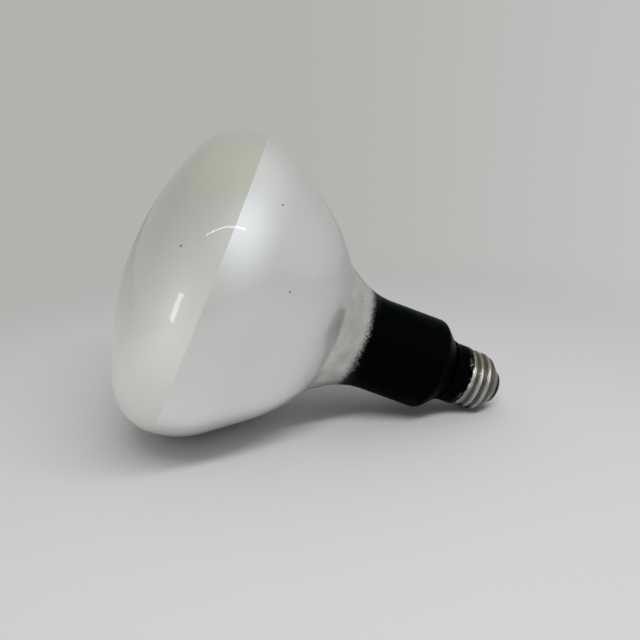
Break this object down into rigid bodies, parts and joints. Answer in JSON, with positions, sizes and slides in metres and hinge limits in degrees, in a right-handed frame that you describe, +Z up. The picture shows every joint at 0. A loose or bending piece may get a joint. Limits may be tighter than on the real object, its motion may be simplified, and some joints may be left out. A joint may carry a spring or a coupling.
{
  "type": "reflector photoflood lamp bulb",
  "caption": "Reflector photoflood bulb: a domed frosted face on a flared bowl, a black-painted neck, and a medium screw base with a centre contact.",
  "frame": {"origin": "middle of the box's footprint, on the surface that the lamp rests on", "axes": "+X from the face towards the screw base, along the surface that the lamp lies on; +Z up; the lamp's own axis lies in the XZ plane and falls 22.6 degrees towards the base"},
  "size_m": [0.166, 0.1268, 0.1213],
  "materials": {
    "frosted_and_coated_glass": "inside-frosted face, white reflector coat on the bowl, gloss black paint on the neck; opaque",
    "nickel_plated_brass": "nickel plated, worn, painted black on the skirt",
    "basing_cement": "matt, filled putty",
    "black_glass": "moulded, glossy, opaque",
    "contact_brass": "tarnished, with a dome of solder",
    "lead_wire": "bare wire"
  },
  "bodies": {
    "root": {"glass_bulb": "frosted_and_coated_glass", "screw_shell": "nickel_plated_brass", "basing_cement": "basing_cement", "base_insulator": "black_glass", "centre_contact": "contact_brass", "centre_lead": "lead_wire"}
  },
  "joints": []
}
